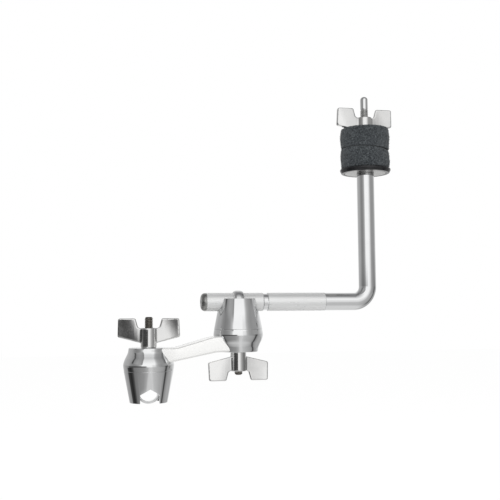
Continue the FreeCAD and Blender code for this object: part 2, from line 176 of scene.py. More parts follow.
below = ramp(room, sideways, round_the_room([
    (-180, .9), (-150, .42), (-125, .36), (-109, .30), (-103, .05), (-84, .02), (-72, .06),
    (-64, .18), (-40, .24), (-14, .30), (2, .42), (9, .60), (20, .64), (30, .52), (55, .42),
    (78, .34), (88, .26), (91, .06), (98, .06), (102, .24), (116, .35), (130, .40), (150, .38),
    (180, .9)]))
walls = below
for foot, full, ring in ((-12, -9, dusk), (0, 4, level), (17, 21, high)):
    walls = blend_shades(ramp(room, height, up_the_room([(foot, 0.0), (full, 1.0)])), walls, ring)
dim_ceiling = ramp(room, height, up_the_room([
    (17, 0.0), (29, .07), (41, .26), (53, .47), (67, .76), (81, 1.0)]))
pale_floor = ramp(room, height, up_the_room([(-64, 1.0), (-40, 0.0)]))
under_foot = ramp(room, height, up_the_room([(-84, .25), (-76, .66), (-50, .70)]))
mirrored = blend_shades(dim_ceiling, walls, (.19, .19, .195, 1))
mirrored = blend_shades(pale_floor, mirrored, under_foot)
print("the room has", len(room.nodes), "nodes")

# %% Which ray sees what
WHITE, EVEN_LIGHT = (1, 1, 1, 1), 0.78
ray = add(room, "ShaderNodeLightPath")
plain_light = add(room, "ShaderNodeBackground", {"Color": WHITE, "Strength": EVEN_LIGHT})
mirror_light = add(room, "ShaderNodeBackground", {"Color": mirrored, "Strength": 1.0})
white_light = add(room, "ShaderNodeBackground", {"Color": WHITE, "Strength": 1.0})
seen = calc(room, "MAXIMUM", ray.outputs["Is Camera Ray"], ray.outputs["Is Transmission Ray"])
matt_or_mirror = add(room, "ShaderNodeMixShader", {
    0: ray.outputs["Is Glossy Ray"], 1: plain_light.outputs[0], 2: mirror_light.outputs[0]})
all_rays = add(room, "ShaderNodeMixShader", {
    0: seen, 1: matt_or_mirror.outputs[0], 2: white_light.outputs[0]})
add(room, "ShaderNodeOutputWorld", {"Surface": all_rays.outputs[0]})
bpy.context.scene.view_settings.view_transform = "Standard"
print("camera rays see white, other plain rays see", EVEN_LIGHT)


# %% Two soft lamps and a pale floor
def soft_lamp(name, place, target, size, power):
    lamp_data = bpy.data.lights.new(name, "AREA")
    lamp_data.size, lamp_data.energy = size, power
    lamp = stand(name, lamp_data)
    aim = Vector(target) - Vector(place)
    lamp.matrix_world = (Matrix.Translation(place)
                         @ aim.to_track_quat("-Z", "Y").to_matrix().to_4x4())
    lamp.visible_glossy = False
    return lamp


soft_lamp("front_lamp", (-0.5, -1.0, 0.9), (0.07, 0, 0.1), 0.9, 7)
soft_lamp("side_lamp", (1.1, -0.5, 0.5), (0.1, 0, 0.1), 0.8, 3)

FLOOR = -0.16          # metres, well below the clamps, so that the shadow stays faint and wide
floor_mesh = bpy.data.meshes.new("floor")
floor_mesh.from_pydata([(-3, -3, FLOOR), (3, -3, FLOOR), (3, 4, FLOOR), (-3, 4, FLOOR)], [],
                       [(0, 1, 2, 3)])
floor = stand("floor", floor_mesh)
paint = bpy.data.materials.new("floor_paint")
paint.use_nodes = True
tree = paint.node_tree
tree.nodes.clear()
ray = add(tree, "ShaderNodeLightPath")
pale = add(tree, "ShaderNodeBsdfDiffuse", {"Color": (.86, .86, .86, 1)})
glow = add(tree, "ShaderNodeEmission", {"Color": WHITE, "Strength": 1.07})
share = calc(tree, "MULTIPLY", ray.outputs["Is Camera Ray"], 0.8)
both = add(tree, "ShaderNodeMixShader", {0: share, 1: pale.outputs[0], 2: glow.outputs[0]})
add(tree, "ShaderNodeOutputMaterial", {"Surface": both.outputs[0]})
floor_mesh.materials.append(paint)
floor.visible_glossy = False
print("floor lies at", floor_mesh.vertices[0].co.z)

# %% [markdown]
# ## Metal finishes
# Plated parts differ in how they were worked before plating. The cups are turned and buffed, so
# their faint marks run round them. The link and the wing nuts are cast, tumbled and plated, so
# they are softer and gently uneven. The rod is drawn, so its marks run along it. One recipe
# covers them all: stretched noise breaks up the roughness, broad noise dulls patches of plating,
# and a very small bump carries both.


# %% The recipe for plated and bare metal
def finish(name):
    material = bpy.data.materials.new(name)
    material.use_nodes = True
    tree = material.node_tree
    tree.nodes.clear()
    return material, tree, add(tree, "ShaderNodeTexCoord").outputs["Object"]


def coat(tree, feeds):
    """Ends a material's tree in one principled surface."""
    surface = add(tree, "ShaderNodeBsdfPrincipled", feeds)
    add(tree, "ShaderNodeOutputMaterial", {"Surface": surface.outputs[0]})


def moved(tree, where, centre=(0, 0, 0), stretch=(1, 1, 1)):
    """The pattern's place, centred on a piece and stretched along its axes."""
    start = [-c * s for c, s in zip(centre, stretch)]
    return add(tree, "ShaderNodeMapping", {
        "Vector": where, "Scale": stretch, "Location": start}).outputs[0]


def grain(tree, where, scale, detail=3.0, rough=0.55):
    return add(tree, "ShaderNodeTexNoise", {
        "Vector": where, "Scale": scale, "Detail": detail, "Roughness": rough}).outputs["Fac"]


def plated(name, bright, dull, gloss, satin, marks, unevenness, wave, metal_share=1.0):
    """gloss and satin are the lowest and highest roughness, and marks stretches the scratches."""
    material, tree, where = finish(name)
    fine = grain(tree, moved(tree, where, stretch=marks), 900)
    patch = grain(tree, where, 95, 5)
    colour = ramp(tree, patch, [(.30, dull), (.62, bright)])
    rough = add(tree, "ShaderNodeMapRange", {
        "Value": calc(tree, "MULTIPLY", fine, patch), "From Min": .12, "From Max": .42,
        "To Min": gloss, "To Max": satin})
    ripple = add(tree, "ShaderNodeBump", {
        "Height": grain(tree, where, wave, 1), "Strength": 1.0, "Distance": unevenness})
    scratch = add(tree, "ShaderNodeBump", {
        "Height": fine, "Strength": .25, "Distance": .000004, "Normal": ripple.outputs[0]})
    coat(tree, {"Base Color": colour, "Metallic": metal_share, "Roughness": rough.outputs[0],
                "Normal": scratch.outputs[0]})
    return material


turned_chrome = plated("turned_chrome", (.92, .925, .93), (.88, .885, .89), .015, .05,
                       (.25, .25, 3), 0.000002, 110)
cast_chrome = plated("cast_chrome", (.93, .935, .935), (.87, .88, .885), .035, .085,
                     (1, 1, 1), 0.000008, 120)
satin_chrome = plated("satin_chrome", (.97, .968, .955), (.94, .938, .925), .13, .20,
                      (.3, 1, 1), 0.00001, 260, 0.6)
nut_chrome = plated("nut_chrome", (.90, .895, .885), (.83, .83, .825), .05, .13,
                    (1, 1, 1), 0.00003, 150)
drawn_chrome = plated("drawn_chrome", (.93, .935, .94), (.89, .895, .90), .02, .06,
                      (.2, 2, 2), 0.000002, 90)
print("plated finishes:", [m.name for m in (turned_chrome, cast_chrome, satin_chrome,
                                           nut_chrome, drawn_chrome)])


# %% Thread steel, with painted shade in its grooves
def thread_steel(name, centre, root, crest, bright, dark):
    """Bare steel on a screw that stands at centre: painted shade darkens it where the radius is
    small, in the grooves, mixed with noise grime.
    """
    material, tree, where = finish(name)
    flat = moved(tree, where, (centre[0], centre[1], 0), (1, 1, 0))
    radius = add(tree, "ShaderNodeVectorMath", {0: flat}, operation="LENGTH").outputs["Value"]
    share = add(tree, "ShaderNodeMapRange", {"Value": radius, "From Min": root, "From Max": crest})
    dirt = grain(tree, where, 1500, 4)
    # painted shade: the colour darkens towards the thread root, where shade falls in the grooves,
    # mixed with noise grime
    depth_shade_and_noise = calc(tree, "MULTIPLY", share.outputs[0], dirt)
    colour = ramp(tree, depth_shade_and_noise, [(.05, dark), (.55, bright)])
    rough = ramp(tree, share.outputs[0], [(0, .62), (1, .24)])
    pits = add(tree, "ShaderNodeBump", {"Height": dirt, "Strength": .5, "Distance": .00002})
    coat(tree, {"Base Color": colour, "Metallic": 1.0, "Roughness": rough,
                "Normal": pits.outputs[0]})
    return material


# %% [markdown]
# ## Tools for turned pieces
# Most of this arm is turned on a lathe, so one helper spins a profile round an upright axis.
# Another rounds the profile's corners first, because no plated edge is truly sharp: the thin
# bright line along an edge is what tells the eye that a part is real metal. Work is done in
# millimetres, and each finished piece is brought to metres in one place.

# %% Measure a solid and round a profile
MM = 0.001


def box_mm(node):
    """Lowest and highest corner of a plain solid, in millimetres."""
    low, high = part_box(node)
    return low / MM, high / MM


def middle(node):
    low, high = box_mm(node)
    return (low.x + high.x) / 2, (low.y + high.y) / 2


def soften(corners, steps=5, closed=True):
    """Rounds each (radius, height, rounding) corner of a profile."""
    line = []
    count = len(corners)
    for i, (x, z, rounding) in enumerate(corners):
        here = Vector((x, z))
        before, after = Vector(corners[i - 1][:2]), Vector(corners[(i + 1) % count][:2])
        if rounding <= 0 or (not closed and i in (0, count - 1)):
            line.append((x, z))
            continue
        back, on = before - here, after - here
        opening = back.angle(on)
        reach = min(rounding / math.tan(opening / 2), back.length * .48, on.length * .48)
        start, end = here + back.normalized() * reach, here + on.normalized() * reach
        for k in range(steps + 1):
            t = k / steps
            spot = start * (1 - t) ** 2 + here * 2 * t * (1 - t) + end * t ** 2
            line.append((spot.x, spot.y))
    return line


def arc(count, first=0, last=None):
    """Angles of a quarter turn in count steps, from step first to step last."""
    return [math.pi / 2 * k / count for k in range(first, (count if last is None else last) + 1)]


# %% Spin a profile, or join rings of points
def close_shape(name, shape):
    """Makes a piece of a closed shape, with its faces pointing outwards."""
    bmesh.ops.recalc_face_normals(shape, faces=shape.faces)
    mesh = bpy.data.meshes.new(name)
    shape.to_mesh(mesh)
    shape.free()
    return stand(name, mesh)


def bridge(shape, rings):
    """Closes the first and last ring of points, and joins each ring to the next."""
    shape.faces.new(rings[0])
    shape.faces.new(rings[-1])
    count = len(rings[0])
    for a, b in zip(rings, rings[1:]):
        for k in range(count):
            shape.faces.new((a[k], a[(k + 1) % count], b[(k + 1) % count], b[k]))


def lathe(name, line, centre=(0, 0), around=128, closed=True, axis="Z"):
    """Spins a line of (radius, height) points round an upright axis, or a lying one."""
    shape = bmesh.new()
    rows = []
    for radius, level in line:
        if radius < 1e-6:
            rows.append([shape.verts.new((0, 0, level))] * around)
            continue
        rows.append([shape.verts.new((radius * math.cos(2 * math.pi * k / around),
                                      radius * math.sin(2 * math.pi * k / around), level))
                     for k in range(around)])
    for i in range(len(rows) if closed else len(rows) - 1):
        low, high = rows[i], rows[(i + 1) % len(rows)]
        for k in range(around):
            loop = list(dict.fromkeys((low[k], low[(k + 1) % around],
                                       high[(k + 1) % around], high[k])))
            if len(loop) > 2:
                shape.faces.new(loop)
    turnings = {"Z": Matrix.Identity(4), "X": Matrix.Rotation(math.pi / 2, 4, "Y"),
                "Y": Matrix.Rotation(-math.pi / 2, 4, "X")}
    where = Vector((*centre, 0)) if len(centre) == 2 else Vector(centre)
    shape.transform(Matrix.Translation(where) @ turnings[axis])
    return close_shape(name, shape)


# %% Bake, cut, weld, cast and hand over
def bake(piece):
    """Turns the piece's modifiers into plain mesh."""
    bpy.context.view_layer.update()
    depsgraph = bpy.context.evaluated_depsgraph_get()
    mesh = bpy.data.meshes.new_from_object(piece.evaluated_get(depsgraph), depsgraph=depsgraph)
    piece.modifiers.clear()
    piece.data = mesh
    return piece


def cut(piece, tool):
    """Takes the tool's volume out of the piece, and the tool away."""
    step = piece.modifiers.new("cut", "BOOLEAN")
    step.object, step.operation, step.solver = tool, "DIFFERENCE", "EXACT"
    bake(piece)
    bpy.data.objects.remove(tool)
    return piece


def weld(piece, *others):
    """Joins pieces into one object, each shell keeping its own finish."""
    shape = bmesh.new()
    materials = []
    for part in (piece, *others):
        start = len(shape.faces)
        shape.from_mesh(part.data)
        shape.faces.ensure_lookup_table()
        own = list(part.data.materials)
        for face in shape.faces[start:]:
            if own:
                chosen = own[min(face.material_index, len(own) - 1)]
                if chosen not in materials:
                    materials.append(chosen)
                face.material_index = materials.index(chosen)
    mesh = bpy.data.meshes.new(piece.name)
    shape.to_mesh(mesh)
    shape.free()
    for material in materials:
        mesh.materials.append(material)
    piece.data = mesh
    for part in others:
        bpy.data.objects.remove(part)
    return piece


def cast(piece, grit, passes):
    """Melts a piece's shells into one skin with soft inner corners, as a casting has."""
    skin = piece.modifiers.new("skin", "REMESH")
    skin.mode, skin.voxel_size = "VOXEL", grit
    rub = piece.modifiers.new("rub", "SMOOTH")
    rub.factor, rub.iterations = 0.5, passes
    return bake(piece)


def settle(piece, body, node, material=None, crease=32):
    """Brings a finished piece to metres, shades it, and hands it to the assembly."""
    mesh = piece.data
    if material is not None:
        mesh.materials.clear()
        mesh.materials.append(material)
    mesh.transform(Matrix.Scale(MM, 4))
    mesh.shade_smooth()
    mesh.set_sharp_from_angle(angle=math.radians(crease))
    mesh.update()
    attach(piece, body)
    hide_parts(node)
    mesh.calc_loop_triangles()
    print(f"{piece.name}: {len(mesh.loop_triangles)} triangles on {body}")
    return piece


# %% [markdown]
# ## Geometry Nodes for what follows a path
# Threads, ridges and the bent rod all follow a path, so each has a node tree with named sizes.
# The tree is run once on an empty object and baked to a plain mesh, so the piece stays light
# and travels anywhere.


# %% Start and run a node tree
def new_tree(name, sizes):
    tree = bpy.data.node_groups.new(name, "GeometryNodeTree")
    for label, kind in sizes.items():
        tree.interface.new_socket(label, in_out="INPUT", socket_type="NodeSocket" + kind)
    tree.interface.new_socket("Geometry", in_out="OUTPUT", socket_type="NodeSocketGeometry")
    return tree, tree.nodes.new("NodeGroupInput").outputs


def close_tree(tree, geometry, material):
    """Every tree ends the same way: real geometry, smooth faces, a finish, and out."""
    real = add(tree, "GeometryNodeRealizeInstances", {"Geometry": geometry})
    dressed = add(tree, "GeometryNodeSetMaterial", {
        "Geometry": real.outputs[0], "Material": material})
    add(tree, "NodeGroupOutput", {"Geometry": dressed.outputs[0]})
    return tree


def set_choice(node, setting, socket, value, label):
    """A choice is a property on some nodes and a menu socket on others."""
    if hasattr(node, setting):
        setattr(node, setting, value)
    else:
        node.inputs[socket].default_value = label


def run_tree(tree, name, sizes, start=None):
    """Runs a tree on a piece, or on an empty one, and bakes what it makes."""
    piece = start or stand(name, bpy.data.meshes.new(name))
    step = piece.modifiers.new("nodes", "NODES")
    step.node_group = tree
    for item in tree.interface.items_tree:
        if item.in_out == "INPUT" and item.name in sizes:
            step[item.identifier] = sizes[item.name]
    return bake(piece)


# %% The thread tree
def thread_tree():
    tree, size = new_tree("screw_thread", {
        "Foot": "Float", "Length": "Float", "Pitch": "Float", "Crest radius": "Float",
        "Axis": "Vector", "Finish": "Material"})
    half = calc(tree, "MULTIPLY", size["Pitch"], 0.5)
    run = calc(tree, "SUBTRACT", size["Length"], size["Pitch"])
    mid_radius = calc(tree, "SUBTRACT", size["Crest radius"], half)
    turns = calc(tree, "DIVIDE", run, size["Pitch"])
    helix = add(tree, "GeometryNodeCurveSpiral", {
        "Resolution": 36, "Rotations": turns, "Start Radius": mid_radius,
        "End Radius": mid_radius, "Height": run, "Reverse": RIGHT_HAND})
    upright = add(tree, "GeometryNodeSetCurveNormal", {"Curve": helix.outputs[0]})
    set_choice(upright, "mode", "Mode", "Z_UP", "Z Up")
    tooth = add(tree, "GeometryNodeCurvePrimitiveCircle", {"Resolution": 4, "Radius": half})
    ridge = add(tree, "GeometryNodeCurveToMesh", {
        "Curve": upright.outputs[0], "Profile Curve": tooth.outputs[0], "Fill Caps": True})
    core = add(tree, "GeometryNodeMeshCylinder", {
        "Vertices": 36, "Radius": calc(tree, "ADD", mid_radius, .04), "Depth": size["Length"]})
    both = add(tree, "GeometryNodeJoinGeometry")
    half_length = calc(tree, "MULTIPLY", size["Length"], .5)
    for part, rise_by in ((ridge, half), (core, half_length)):
        lift = add(tree, "ShaderNodeCombineXYZ", {"Z": rise_by})
        lifted = add(tree, "GeometryNodeTransform", {
            "Geometry": part.outputs[0], "Translation": lift.outputs[0]})
        tree.links.new(lifted.outputs[0], both.inputs[0])
    foot = add(tree, "ShaderNodeCombineXYZ", {"Z": size["Foot"]})
    place = add(tree, "ShaderNodeVectorMath", {0: size["Axis"], 1: foot.outputs[0]},
                operation="ADD")
    placed = add(tree, "GeometryNodeTransform", {
        "Geometry": both.outputs[0], "Translation": place.outputs[0]})
    return close_tree(tree, placed.outputs[0], size["Finish"])


RIGHT_HAND, PITCH, CREST = True, 1.0, 2.97
screw_thread = thread_tree()


def thread(name, centre, foot, top, material):
    return run_tree(screw_thread, name, {
        "Foot": foot, "Length": top - foot, "Pitch": PITCH, "Crest radius": CREST,
        "Axis": (*centre, 0.0), "Finish": material})


print("threads have a pitch of", PITCH, "mm and a crest radius of", CREST)


# %% [markdown]
# ## The two cups
# Each clamp ends in a hollow cup, widest at the seam and narrower at its open end. A V-bottomed
# slot crosses the open end: the V pulls a rod into the middle whatever its thickness. The wall
# is a closed profile spun round, the slot is cut with a solid tool, and a small bevel breaks
# the cut edges, which a buffing wheel also does.


# %% Turn and slot a cup
def make_cup(name, body, node, seam, way, slot_along):
    """way is +1 when the cup opens upwards from its seam, and -1 when it opens downwards."""
    low, high = box_mm(node)
    centre, wide = middle(node), (high.x - low.x) / 2
    tall = high.z - low.z
    mouth, bore, hollow, floor_at = 12.95, 3.3, 9.4, 4.5
    corners = [(bore, 0, .3), (wide, 0, .3),
               (mouth, tall, .25), (hollow, tall, .6), (hollow, floor_at, 1.2),
               (bore, floor_at, .3)]
    line = [(r, seam + way * u) for r, u in soften(corners, 6)]
    cup = lathe(name, line, centre)
    apex, half = 11.704, 6.6                   # where the V starts, and half the slot's width
    rise = half / math.tan(math.radians(60))
    outline = [(0, apex), (half, apex + rise), (half, tall + 5), (-half, tall + 5),
               (-half, apex + rise)]
    shape = bmesh.new()
    bridge(shape, [[shape.verts.new((a, y, u)) for a, u in outline] for y in (-30, 30)])
    if slot_along == "X":
        shape.transform(Matrix.Rotation(math.pi / 2, 4, "Z"))
    shape.transform(Matrix.Translation((*centre, seam)) @ Matrix.Diagonal((1, 1, way, 1)))
    cut(cup, close_shape("slot_tool", shape))
    edge = cup.modifiers.new("broken_edges", "BEVEL")
    edge.width, edge.segments, edge.limit_method = 0.18, 2, "ANGLE"
    edge.angle_limit = math.radians(38)
    bake(cup)
    return settle(cup, body, node, turned_chrome)


left_seam = box_mm("left_cup")[1].z
right_seam = box_mm("right_cup")[0].z
make_cup("left_cup_turned", "left_jaw", "left_cup", left_seam, -1, "Y")
make_cup("right_cup_turned", "right_jaw", "right_cup", right_seam, 1, "X")

# %% [markdown]
# ## The link
# The link is one casting: a bell-shaped end over each clamp, mirrored top to bottom, and a
# strap that climbs between them. Melting the bells and the strap into one skin would leave
# ripples that polished metal shows at once. So each bell is a closed profile with its
# bolt hole in it, spun round its axis, and the strap is a rounded bar between an under line and
# an over line, with its ends buried in the bells. The bells are buffed bright. The strap is hard
# to reach with a wheel, so it has a paler satin finish.

# %% Spin a bell
# (share of the height, share of the radius) up the side of a bell
bell = [(0, .994), (.11, 1.012), (.25, 1.023), (.38, 1.0), (.52, .953), (.66, .889), (.80, .836),
        (.95, .812)]
low, high = box_mm("link_arm")
bell_height, bell_radius = 15.7, 17.1
left_axis, right_axis = middle("left_cup"), middle("right_cup")


def flowing(points, steps=8):
    """A smooth curve through every point, with no flat facets between them."""
    line = []
    for i in range(len(points) - 1):
        before, here, there, after = (Vector(points[min(max(i + k, 0), len(points) - 1)])
                                      for k in (-1, 0, 1, 2))
        for step in range(steps):
            t = step / steps
            line.append((here * 2 + (there - before) * t
                         + (before * 2 - here * 5 + there * 4 - after) * t ** 2
                         + (here * 3 - before - there * 3 + after) * t ** 3) / 2)
    return [(spot.x, spot.y) for spot in line] + [tuple(points[-1])]


def make_bell(name, centre, seam, way):
    """A bell on its seam: its outer side, then the flat end and the bolt hole."""
    side = flowing([(bell_radius * out, bell_height * up) for up, out in bell])
    rim = soften([(*side[-1], 0), (bell_radius * .80, bell_height, .7), (3.27, bell_height, .3),
                  (3.27, 0, .2), (*side[0], 0)], 5, closed=False)
    line = [(r, seam + way * u) for r, u in side[:-1] + rim[:-1]]
    return lathe(name, line, centre, 160)


# %% A strap between two lines
def height_on(line, x):
    """Height of a softened outline at x."""
    for (x0, z0), (x1, z1) in zip(line, line[1:]):
        if x0 <= x <= x1:
            return z0 + (z1 - z0) * (x - x0) / max(x1 - x0, 1e-9)
    return line[-1][1]


def make_strap(under, over, width, rounding):
    """A rounded bar between an under line and an over line, flared where it meets the bells."""
    under, over = (soften(line, 12, closed=False) for line in (under, over))
    start, end = under[0][0], under[-1][0]
    shape = bmesh.new()
    rows = []
    for i in range(97):
        x = start + (end - start) * i / 96
        foot, top = height_on(under, x), height_on(over, x)
        ends = max(0, 1 - (x - start) / 16) ** 2 + max(0, 1 - (end - x) / 16) ** 2
        half, mid, tall = width / 2 + .9 * ends, (foot + top) / 2, (top - foot) / 2
        row = []
        for quarter, (cy, cz) in enumerate(((1, 1), (-1, 1), (-1, -1), (1, -1))):
            for k in range(9):
                a = math.pi / 2 * (quarter + k / 8)
                y = cy * (half - rounding) + rounding * math.cos(a)
                z = mid + cz * (tall - rounding) + rounding * math.sin(a)
                row.append(shape.verts.new((x, y, z)))
        rows.append(row)
    bridge(shape, rows)
    return close_shape("strap", shape)


# %% Put the link together
gap, seam = right_axis[0] - left_axis[0], low.z
STRAP_WIDTH, STRAP_ROUNDING = 21.4, 1.3
under = [(6.6, 5.6, 0), (14.1, 5.7, 16), (gap - 17.1, 12.1, 16), (gap - 6.6, 12.3, 0)]
over = [(6.6, 15.6, 0), (18.6, 15.5, 16), (gap - 19.1, 22.7, 16), (gap - 6.6, 23.9, 0)]
strap = make_strap([(left_axis[0] + x, seam + z, r) for x, z, r in under],
                   [(left_axis[0] + x, seam + z, r) for x, z, r in over],
                   STRAP_WIDTH, STRAP_ROUNDING)
link = make_bell("link_cast", left_axis, low.z, 1)
other_bell = make_bell("right_bell", right_axis, high.z, -1)
for part, made_of in ((link, cast_chrome), (other_bell, cast_chrome), (strap, satin_chrome)):
    part.data.materials.append(made_of)
settle(weld(link, other_bell, strap), "link", "link_arm", crease=40)

# %% [markdown]
# ## The eyebolts
# An eyebolt reaches through each cup: its forged eye holds the rod and its threaded shank takes
# the wing nut. The eye is a flat band with rounded sides spun round a lying axis, melted onto
# a tapered neck. The thread is the node tree above. Its grooves are painted dark brown as shade,
# with noise grime over it, which is why the tip of the screw looks brown against the bright nut.

# %% Forge and thread both eyebolts
INSIDE, OUTSIDE, BAND = 6.8, 8.6, 7.0             # the eye's radii and its width


def make_eyebolt(name, body, node, eye_height, way, axis):
    """way is +1 when the shank points upwards from the eye, and axis is the eye's own."""
    low, high = box_mm(node)
    centre = middle(node)
    crown = [math.radians(a) for a in range(-88, 89, 8)]
    profile = [(INSIDE, -BAND / 2 + .3), (INSIDE, BAND / 2 - .3), (INSIDE + .3, BAND / 2)]
    profile += [(OUTSIDE - 1.5 + 1.5 * math.cos(a), math.sin(a) * BAND / 2) for a in crown[::-1]]
    profile += [(INSIDE + .3, -BAND / 2)]
    eye = lathe(name, profile, (*centre, eye_height), 96, axis=axis)
    neck_line = [(0, 7.2, 0), (4.3, 7.2, 0), (3.4, 9.6, 2), (2.6, 12.2, 1), (2.6, 15, 0),
                 (0, 15, 0)]
    neck = lathe("neck", [(r, eye_height + way * u) for r, u in soften(neck_line, 4, False)],
                 centre, 48, closed=False)
    cast(weld(eye, neck), 0.26, 5)
    eye.data.materials.append(cast_chrome)
    # the second colour is the painted shade in the thread's grooves
    steel = thread_steel(name + "_thread", [c * MM for c in centre], .00240, .00296,
                         (.62, .60, .56), (.13, .115, .10))
    tip = high.z if way > 0 else low.z
    foot, top = sorted((eye_height + way * 13.2, tip - way * .55))
    shank = thread("shank", centre, foot, top, steel)
    end = [(0, 1.2), (2.58, 1.2), (2.5, .5), (1.7, 0), (0, 0)]
    cap = lathe("screw_end", [(r, tip - way * back) for r, back in end], centre, 36, closed=False)
    cap.data.materials.append(steel)
    return settle(weld(eye, shank, cap), body, node, crease=45)


make_eyebolt("left_eyebolt_forged", "left_eye", "left_eyebolt", 3.14, 1, "Y")
make_eyebolt("right_eyebolt_forged", "right_eye", "right_eyebolt", 63.98, -1, "X")

# %% [markdown]
# ## The wing nuts
# Three like nuts work the arm: two close the clamps and one holds the cymbal. A wing nut is cast
# in zinc, with two ears whose lower edge rises towards the tip and whose inner edge leans away
# from the screw. Ears and hub are melted together for the fillets, the nut is rubbed smooth,
# and the screw hole is drilled last. The ears bow by about a millimetre, and the left nut stands a
# little turned, as it does in the plain solids. Both are guesses: a flat, square nut would mirror
# one even grey, but one ear of a real nut can mirror a dark wall and the other a bright one.


# %% One bowed ear
EAR_SPAN = (box_mm("top_wing_nut")[1].x - box_mm("top_wing_nut")[0].x) / 2
EAR_LINE = soften([(2.0, 3.0, 0), (5.6, 3.3, 0), (EAR_SPAN, 7.3, 1.5), (EAR_SPAN - .5, 20.3, 1.5),
                   (9.0, 20.3, 1.3), (7.3, 14.2, .9), (5.2, 13.2, 0), (2.0, 13.2, 0)], 5)
EAR_HEART = Vector((13.0, 12.2))                  # the rims are drawn in towards this point
print("the ears reach", round(EAR_SPAN, 2), "mm from the screw")


def make_ear(side, centre, foot, way):
    """A plate with broken rims, sliced finely so that it can bow. side is -1 or +1."""
    shape = bmesh.new()
    layers = []
    for depth, inset in ((-1.6, .55), (-1.05, 0), (1.05, 0), (1.6, .55)):
        ring = []
        for x, u in EAR_LINE:
            away = Vector((x, u)) - EAR_HEART
            point = EAR_HEART + away * (1 - inset / max(away.length, 2))
            ring.append(shape.verts.new((side * point.x, depth, point.y)))
        layers.append(ring)
    bridge(shape, layers)
    for step in range(5, 43):
        bmesh.ops.bisect_plane(shape, geom=shape.verts[:] + shape.edges[:] + shape.faces[:],
                               plane_co=(side * step / 2, 0, 0), plane_no=(1, 0, 0))
    for vertex in shape.verts:
        x, depth, u = vertex.co
        bow = math.sin(math.pi * x / 30) + .0012 * x * x - .004 * abs(x) * (u - 12)
        vertex.co = (centre[0] + x, centre[1] + depth + bow, foot + way * u)
    return close_shape("ear", shape)


# %% Cast a wing nut
def make_wing_nut(name, body, node, way, turned=0.0):
    """way is +1 when the ears stand up from the nut's foot, and turned is its rest angle."""
    low, high = box_mm(node)
    centre = middle(node)
    foot = low.z if way > 0 else high.z
    hub_line = soften([(0, 0, 0), (5.55, 0, .35), (5.55, 13.7, .7), (0, 13.7, 0)], 4, False)
    nut = lathe(name, [(r, foot + way * u) for r, u in hub_line], centre, 72, closed=False)
    ears = [make_ear(side, centre, foot, way) for side in (-1, 1)]
    cast(weld(nut, *ears), 0.27, 9)
    about = Matrix.Translation((*centre, 0))
    nut.data.transform(about @ Matrix.Rotation(math.radians(turned), 4, "Z") @ about.inverted())
    reach = [foot - way, foot + way * 15]
    cut(nut, lathe("drill", [(0, reach[0]), (3.04, reach[0]), (3.04, reach[1]), (0, reach[1])],
                   centre, 48, closed=False))
    return settle(nut, body, node, nut_chrome, 50)


make_wing_nut("left_wing_nut_cast", "left_nut", "left_wing_nut", 1, -11.5)
make_wing_nut("right_wing_nut_cast", "right_nut", "right_wing_nut", -1)
make_wing_nut("top_wing_nut_cast", "top_nut", "top_wing_nut", 1)

# %% [markdown]
# ## The bent rod
# The rod is half-inch bar bent once to a right angle. Its polished part is a circle swept along
# a filleted corner, which is how a bending machine sees it too. Along the clamp end two bands
# are knurled with fine straight ridges so that the clamp bites, with a turned groove between
# them. A star-shaped profile swept along each band makes every ridge at once.

# %% Polished sweep
low, high = box_mm("l_rod")
ROD, VALLEY, RIDGE = 6.35, 6.34, 6.45          # radii: bare bar, knurl valleys, knurl crests
rod_height, leg_axis, shoulder = low.z + RIDGE, high.x - ROD, high.z
knurls = ((low.x + 3.2, 80.8), (84.1, 126.7))
print("rod lies at", round(rod_height, 3), "and its leg stands at", round(leg_axis, 3))


def bent_bar_tree():
    tree, size = new_tree("bent_bar", {"Geometry": "Geometry", "Bend": "Float",
                                       "Radius": "Float", "Finish": "Material"})
    path = add(tree, "GeometryNodeMeshToCurve", {"Mesh": size["Geometry"]})
    bend = add(tree, "GeometryNodeFilletCurve", {
        "Curve": path.outputs[0], "Radius": size["Bend"]})
    set_choice(bend, "mode", "Mode", "POLY", "Poly")
    bend.inputs["Count"].default_value = 40
    ring = add(tree, "GeometryNodeCurvePrimitiveCircle", {
        "Resolution": 112, "Radius": size["Radius"]})
    bar = add(tree, "GeometryNodeCurveToMesh", {
        "Curve": bend.outputs[0], "Profile Curve": ring.outputs[0], "Fill Caps": True})
    return close_tree(tree, bar.outputs[0], size["Finish"])


corner_mesh = bpy.data.meshes.new("corner")
corner_mesh.from_pydata([(knurls[1][1] - .2, 0, rod_height), (leg_axis, 0, rod_height),
                         (leg_axis, 0, shoulder - .5)], [(0, 1), (1, 2)], [])
rod = run_tree(bent_bar_tree(), "rod_bent", {
    "Bend": 11.0, "Radius": ROD, "Finish": drawn_chrome}, stand("rod_bent", corner_mesh))

# %% [markdown]
# A knurl is cut, not polished, so half of its light is scattered and half is mirrored. Its colour
# goes by depth: the valleys are painted grey as shade, the crests are bright, and speckle lies
# over both.


# %% Knurl finish and knurl tree
def knurl_finish(height_m, root, crest):
    material, tree, where = finish("knurl_chrome")
    cross = moved(tree, where, (0, 0, height_m), (0, 1, 1))
    radius = add(tree, "ShaderNodeVectorMath", {0: cross}, operation="LENGTH").outputs["Value"]
    share = add(tree, "ShaderNodeMapRange", {"Value": radius, "From Min": root, "From Max": crest})
    spots = grain(tree, moved(tree, where, stretch=(.06, 1, 1)), 1300, 4)
    # painted shade: the colour goes grey towards the knurl valleys, by depth, with random speckle
    # over it
    depth_shade_and_noise = add(tree, "ShaderNodeMath", {0: spots, 1: .5, 2: share.outputs[0]},
               operation="MULTIPLY_ADD")
    colour = ramp(tree, depth_shade_and_noise.outputs[0], [(.15, (.50, .515, .52)), (.85, (.96, .96, .955))])
    rough = ramp(tree, spots, [(.3, .26), (.7, .38)])
    bite = add(tree, "ShaderNodeBump", {"Height": spots, "Strength": .3, "Distance": .00001})
    coat(tree, {"Base Color": colour, "Metallic": 0.6, "Roughness": rough,
                "Normal": bite.outputs[0]})
    return material


